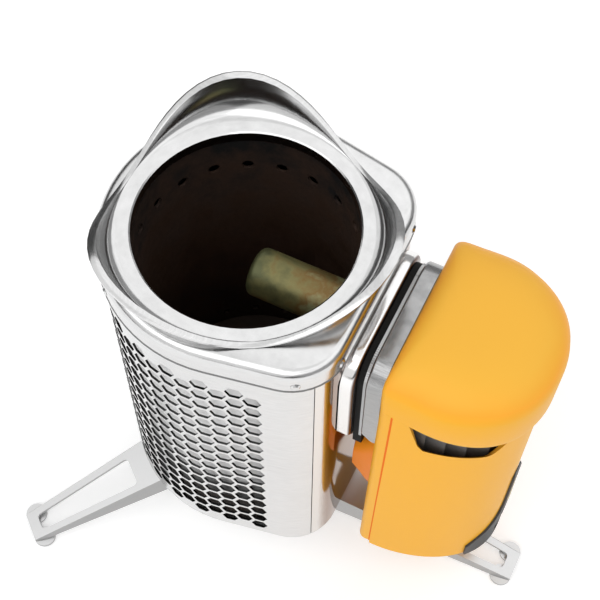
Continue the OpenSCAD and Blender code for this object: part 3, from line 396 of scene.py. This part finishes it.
# Looks of the details below.
# Painted shade: the parting line's strip.
GROOVE_PAINTED_SHADE = plain_coat("painted_groove_shade", GROOVE_SHADE_DARK, GROOVE_SHADE_LIGHT, rough=0.6, gloss=0.1)
BAND_ALLOY = brushed_metal("band_alloy", grey(0.38), grey(0.5), rough=0.35)
# Painted shade: the hem's dark grey stands for the shadow line under the cap's skirt.
HEM_PAINTED_SHADE = brushed_metal("hem_painted_shadow", grey(0.16), grey(0.24), rough=0.4)

for entry in frame["record"]["subparts"]:
    name = entry["node"]
    mesh = nodes[name].data
    mesh.materials.clear()
    mesh.materials.append(OWN_LOOKS.get(name, LOOKS[entry["material_slot"]]))


# Edges: weld the tessellation, then shade it smooth up to a crease angle.

CREASE_ANGLE = math.radians(32)
WELD_REACH = 0.002 * MM


def crease_group():
    tree = bpy.data.node_groups.new("crease_shading", "GeometryNodeTree")
    tree.interface.new_socket("Geometry", in_out="INPUT", socket_type="NodeSocketGeometry")
    tree.interface.new_socket("Geometry", in_out="OUTPUT", socket_type="NodeSocketGeometry")
    source = tree.nodes.new("NodeGroupInput")
    target = tree.nodes.new("NodeGroupOutput")
    edge = tree.nodes.new("GeometryNodeInputMeshEdgeAngle")
    sharp = tree.nodes.new("FunctionNodeCompare")
    sharp.operation = "GREATER_THAN"
    sharp.inputs["B"].default_value = CREASE_ANGLE
    tree.links.new(edge.outputs["Unsigned Angle"], sharp.inputs["A"])
    normal = tree.nodes.new("GeometryNodeSetMeshNormal")
    normal.mode = "SHARPNESS"
    tree.links.new(source.outputs[0], normal.inputs["Mesh"])
    normal.inputs["Remove Custom"].default_value = True
    normal.inputs["Face Sharpness"].default_value = False
    tree.links.new(sharp.outputs["Result"], normal.inputs["Edge Sharpness"])
    tree.links.new(normal.outputs[0], target.inputs[0])
    return tree


crease_shading = crease_group()
for node in nodes.values():
    weld = node.modifiers.new("weld", "WELD")
    weld.merge_threshold = WELD_REACH
    crease = node.modifiers.new("crease", "NODES")
    crease.node_group = crease_shading


# Details: the module's parting line, filled with a deeper orange strip that is painted shade, the ridges
# beside the dock's seal, and the cap's hem, whose dark grey is a painted shadow line.

# Points this near a plane count as lying in it.
PLANE_SLACK = 0.05 * MM

# The parting line's groove, and the deeper orange strip in it, which is painted shade of the groove: how
# deep it sits, how far it laps over the groove's edges, how far it stands out there and in the middle, and
# the pitch of its points along the groove.
GROOVE = 0.5 * MM
STRIP_DEPTH = 1.5 * MM
STRIP_LAP = 0.2 * MM
STRIP_LIP = 0.02 * MM
STRIP_PROUD = 0.08 * MM
STRIP_STEP = 2 * MM

# The parting line starts within this height over the back cover's foot.
COVER_FOOT = 8 * MM

# The ridges on the edge of the dock's seal.
RIDGE_PITCH = 1.0 * MM
RIDGE_HEIGHT = 0.45 * MM
RIDGE_VALLEY = RIDGE_HEIGHT / 3
RIDGE_WIDTH = 1.2 * MM
RIDGE_ROOT = 0.4 * MM
RIDGE_INSET = 0.02 * MM

# The hem of the cap's skirt stands out by this much on both sides of the skirt's edge.
HEM_PROUD = 0.2 * MM
HEM_HEIGHT = 0.8 * MM


def link_object(name, data):
    holder = bpy.data.objects.new(name, data)
    bpy.context.scene.collection.objects.link(holder)
    return holder


def hull_ring(points):
    """The corners of the points' convex hull, in order."""
    return [points[i] for i in convex_hull_2d(points)]


def outline(points):
    """The convex outline of (y, z) points, as a list that starts and ends at the highest edge."""
    ring = hull_ring(points)
    count = len(ring)
    top = max(range(count), key=lambda i: ring[i].y + ring[(i + 1) % count].y)
    return ring[top + 1 :] + ring[: top + 1]


def resample(path, pitch):
    """Points at an even pitch along a path of straight pieces."""
    lengths = [(b - a).length for a, b in zip(path, path[1:])]
    count = int(sum(lengths) / pitch)
    points = []
    piece, done = 0, 0.0
    for i in range(count + 1):
        goal = sum(lengths) * i / count
        while piece < len(lengths) - 1 and done + lengths[piece] < goal:
            done += lengths[piece]
            piece += 1
        points.append(path[piece].lerp(path[piece + 1], (goal - done) / lengths[piece]))
    return points


def outward(before, after, spoke):
    """The unit vector across a path that runs from before to after, on the spoke's side."""
    along = after - before
    out = Vector((along.y, -along.x)).normalized()
    return -out if out.dot(spoke) < 0 else out


def tube_faces(rings, corners, closed):
    """Faces between the rings of a swept section; an open tube also gets its two ends."""
    faces = []
    for i in range(rings if closed else rings - 1):
        near, far = i * corners, (i + 1) % rings * corners
        for k in range(corners):
            side = (k + 1) % corners
            faces.append((near + k, near + side, far + side, far + k))
    if not closed:
        last = (rings - 1) * corners
        faces += [tuple(range(corners))[::-1], tuple(range(last, last + corners))]
    return faces


def solid_mesh(name, verts, faces, looks):
    """A mesh whose faces all look outward."""
    mesh = bpy.data.meshes.new(name)
    mesh.from_pydata(verts, [], faces)
    mesh.validate()
    shell = bmesh.new()
    shell.from_mesh(mesh)
    bmesh.ops.recalc_face_normals(shell, faces=shell.faces)
    shell.to_mesh(mesh)
    shell.free()
    mesh.materials.append(looks)
    return mesh


def swept_strip(name, path, x_at, section, looks):
    """A strip along an outline: section(i) gives its (outward, x) corners at the path's point i."""
    middle = sum(path, Vector((0, 0))) / len(path)
    last = len(path) - 1
    verts = []
    for i, point in enumerate(path):
        out = outward(path[max(i - 1, 0)], path[min(i + 1, last)], point - middle)
        for away, x in section(i):
            place = point + out * away
            verts.append((x_at(point) + x, place.x, place.y))
    faces = tube_faces(len(path), len(section(0)), closed=False)
    strip = link_object(name, solid_mesh(name, verts, faces, looks))
    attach(strip, "module")


def make_parting_groove_shade():
    """A deeper orange strip, which is painted shade, in the leaning groove between the back cover and the
    front shell.
    """
    edge = [v.co for v in nodes["back_cover"].data.vertices]
    foot_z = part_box("back_cover")[0].z + COVER_FOOT
    low = max((v for v in edge if v.z < foot_z), key=lambda v: v.x)
    high = max(edge, key=lambda v: v.x)
    slope = (high.x - low.x) / (high.z - low.z)

    def x_at(point):
        return low.x + slope * (point.y - low.z)

    def section(i):
        near = [(-STRIP_DEPTH, 0), (STRIP_LIP, -STRIP_LAP)]
        far = [(STRIP_LIP, GROOVE + STRIP_LAP), (-STRIP_DEPTH, GROOVE)]
        return [*near, (STRIP_PROUD, GROOVE / 2), *far]

    flat = [Vector((v.y, v.z)) for v in edge if abs(v.x - x_at(Vector((v.y, v.z)))) < PLANE_SLACK]
    path = resample(outline(flat), STRIP_STEP)
    swept_strip("parting_groove_shade", path, x_at, section, GROOVE_PAINTED_SHADE)


def make_ridged_band():
    """Fine ridges across the edge of the dock's seal, where it meets the metal frame."""
    seal_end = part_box("dock_seal")[1].x
    around = [Vector((v.co.y, v.co.z)) for v in nodes["dock_seal"].data.vertices]
    frame_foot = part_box("metal_frame")[0].z
    path = [q for q in resample(outline(around), RIDGE_PITCH / 2) if q.y > frame_foot]

    def section(i):
        crest = RIDGE_HEIGHT if i % 2 else RIDGE_VALLEY
        near, far = -RIDGE_WIDTH, -RIDGE_INSET
        return [(-RIDGE_ROOT, near), (crest, near), (crest, far), (-RIDGE_ROOT, far)]

    swept_strip("ridged_band", path, lambda point: seal_end, section, BAND_ALLOY)


def make_cap_hem():
    """A narrow folded hem along the lower edge of the cap's skirt, in a dark grey that is the painted
    shadow line under the skirt.
    """
    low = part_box("top_cap")[0].z
    high = low + HEM_HEIGHT
    edge = [v.co for v in nodes["top_cap"].data.vertices if v.co.z < low + PLANE_SLACK]
    ring = hull_ring([Vector((v.x, v.y)) for v in edge])
    corners = ((-HEM_PROUD, low), (HEM_PROUD, low), (HEM_PROUD, high), (-HEM_PROUD, high))
    verts = []
    for i, point in enumerate(ring):
        out = outward(ring[i - 1], ring[(i + 1) % len(ring)], point - Vector((AXIS_X, 0)))
        for away, z in corners:
            place = point + out * away
            verts.append((place.x, place.y, z))
    faces = tube_faces(len(ring), len(corners), closed=True)
    hem = link_object("cap_hem", solid_mesh("cap_hem", verts, faces, HEM_PAINTED_SHADE))
    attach(hem, "stove")


make_cap_hem()
make_parting_groove_shade()
make_ridged_band()


# Stage: a pale floor that keeps the shadow, an even white surround and soft lamps.

FLOOR_HALF = 6.0
FLOOR_TONE = 0.86
FLOOR_GLOW = 0.35
WORLD_LIGHT = 0.62
LAMP_AIM = Vector((AXIS_X + 0.03, 0, 0.12))

# A dark band low round the stage, which gives the metal something to reflect.
BAND_REACH = 1.8
BAND_LOW = 0.15
BAND_HIGH = 1.35
BAND_TONE = 0.08
BAND_STEPS = 48


def seen_directly(tree):
    """1 for camera, glossy and transmission rays, 0 for the rest."""
    path = add(tree, "ShaderNodeLightPath")
    seen = path.outputs["Is Camera Ray"]
    for name in ("Is Glossy Ray", "Is Transmission Ray"):
        links = {0: seen, 1: path.outputs[name]}
        seen = add(tree, "ShaderNodeMath", links, operation="MAXIMUM").outputs[0]
    return seen


def make_floor():
    mesh = bpy.data.meshes.new("floor")
    corners = ((-1, -1), (1, -1), (1, 1), (-1, 1))
    mesh.from_pydata([(x * FLOOR_HALF, y * FLOOR_HALF, 0) for x, y in corners], [], [(0, 1, 2, 3)])
    floor = link_object("floor", mesh)
    mat, tree, bsdf = new_material("floor_paper")
    bsdf.inputs["Base Color"].default_value = (*grey(FLOOR_TONE), 1)
    bsdf.inputs["Roughness"].default_value = 0.9
    bsdf.inputs["Specular IOR Level"].default_value = 0.1
    glow = add(tree, "ShaderNodeEmission")
    glow.inputs["Color"].default_value = (1, 1, 1, 1)
    strength = span(tree, seen_directly(tree), 0, 1, 0, FLOOR_GLOW)
    tree.links.new(strength, glow.inputs["Strength"])
    both = add(tree, "ShaderNodeAddShader", {0: bsdf.outputs[0], 1: glow.outputs[0]})
    tree.links.new(both.outputs[0], tree.nodes["Material Output"].inputs["Surface"])
    mesh.materials.append(mat)


def make_world():
    world = bpy.data.worlds.new("studio")
    bpy.context.scene.world = world
    world.use_nodes = True
    tree = world.node_tree
    back = tree.nodes["Background"]
    back.inputs["Color"].default_value = (1, 1, 1, 1)
    strength = span(tree, seen_directly(tree), 0, 1, WORLD_LIGHT, 1.0)
    tree.links.new(strength, back.inputs["Strength"])


def make_lamp(name, place, width, power):
    """A round lamp aimed at the stove; its place and width are in metres, its power in watts."""
    lamp = bpy.data.lights.new(name, "AREA")
    lamp.shape = "DISK"
    lamp.size = width
    lamp.energy = power
    holder = link_object(name, lamp)
    holder.location = place
    aim = LAMP_AIM - Vector(place)
    holder.rotation_euler = aim.to_track_quat("-Z", "Y").to_euler()


def make_surround():
    """The dark band, which only shows as a reflection in the metal."""
    verts, faces = [], []
    for i in range(BAND_STEPS):
        turn = 2 * math.pi * i / BAND_STEPS
        x, y = BAND_REACH * math.cos(turn), BAND_REACH * math.sin(turn)
        verts += [(x, y, BAND_LOW), (x, y, BAND_HIGH)]
        a, b = 2 * i, 2 * ((i + 1) % BAND_STEPS)
        faces.append((a, b, b + 1, a + 1))
    mesh = bpy.data.meshes.new("dark_band")
    mesh.from_pydata(verts, [], faces)
    mat, tree, bsdf = new_material("dark_cloth")
    bsdf.inputs["Base Color"].default_value = (*grey(BAND_TONE), 1)
    bsdf.inputs["Roughness"].default_value = 1.0
    mesh.materials.append(mat)
    band = link_object("dark_band", mesh)
    band.visible_camera = False
    band.visible_diffuse = False
    band.visible_transmission = False
    band.visible_shadow = False


make_floor()
make_world()
make_lamp("key_lamp", place=(-0.35, -1.05, 1.0), width=2.4, power=11.4)
make_lamp("fill_lamp", place=(0.95, -0.35, 0.85), width=1.8, power=2.6)
make_lamp("back_lamp", place=(0.2, 0.95, 0.9), width=2.2, power=3.4)
make_surround()


# The photograph's camera, measured from the chamber's axis, with angles in degrees.

CAMERA_AZIMUTH = 29.98
CAMERA_REACH = 290.63 * MM
CAMERA_HEIGHT = 644.12 * MM
CAMERA_YAW = -4.21
CAMERA_PITCH = 59.92
CAMERA_ROLL = 0.30
CAMERA_LENS = 80.79
CAMERA_SENSOR = 36
CAMERA_NEAR = 10 * MM


def make_camera():
    bearing = math.radians(CAMERA_AZIMUTH)
    turn = math.radians(CAMERA_AZIMUTH + CAMERA_YAW)
    tilt = math.radians(CAMERA_PITCH)
    roll = math.radians(CAMERA_ROLL)
    reach_x = math.sin(bearing) * CAMERA_REACH
    reach_y = -math.cos(bearing) * CAMERA_REACH
    place = Vector((AXIS_X + reach_x, reach_y, CAMERA_HEIGHT))
    level_back = Vector((math.sin(turn), -math.cos(turn), 0))
    back = math.cos(tilt) * level_back + Vector((0, 0, math.sin(tilt)))
    level = Vector((math.cos(turn), math.sin(turn), 0))
    upward = back.cross(level)
    right = math.cos(roll) * level + math.sin(roll) * upward
    up = -math.sin(roll) * level + math.cos(roll) * upward
    data = bpy.data.cameras.new("photo_camera")
    data.lens = CAMERA_LENS
    data.sensor_width = CAMERA_SENSOR
    data.clip_start = CAMERA_NEAR
    camera = link_object("photo_camera", data)
    axes = Matrix((right, up, back)).transposed().to_4x4()
    camera.matrix_world = Matrix.Translation(place) @ axes
    bpy.context.scene.camera = camera


make_camera()
bpy.context.scene.view_settings.view_transform = "Standard"
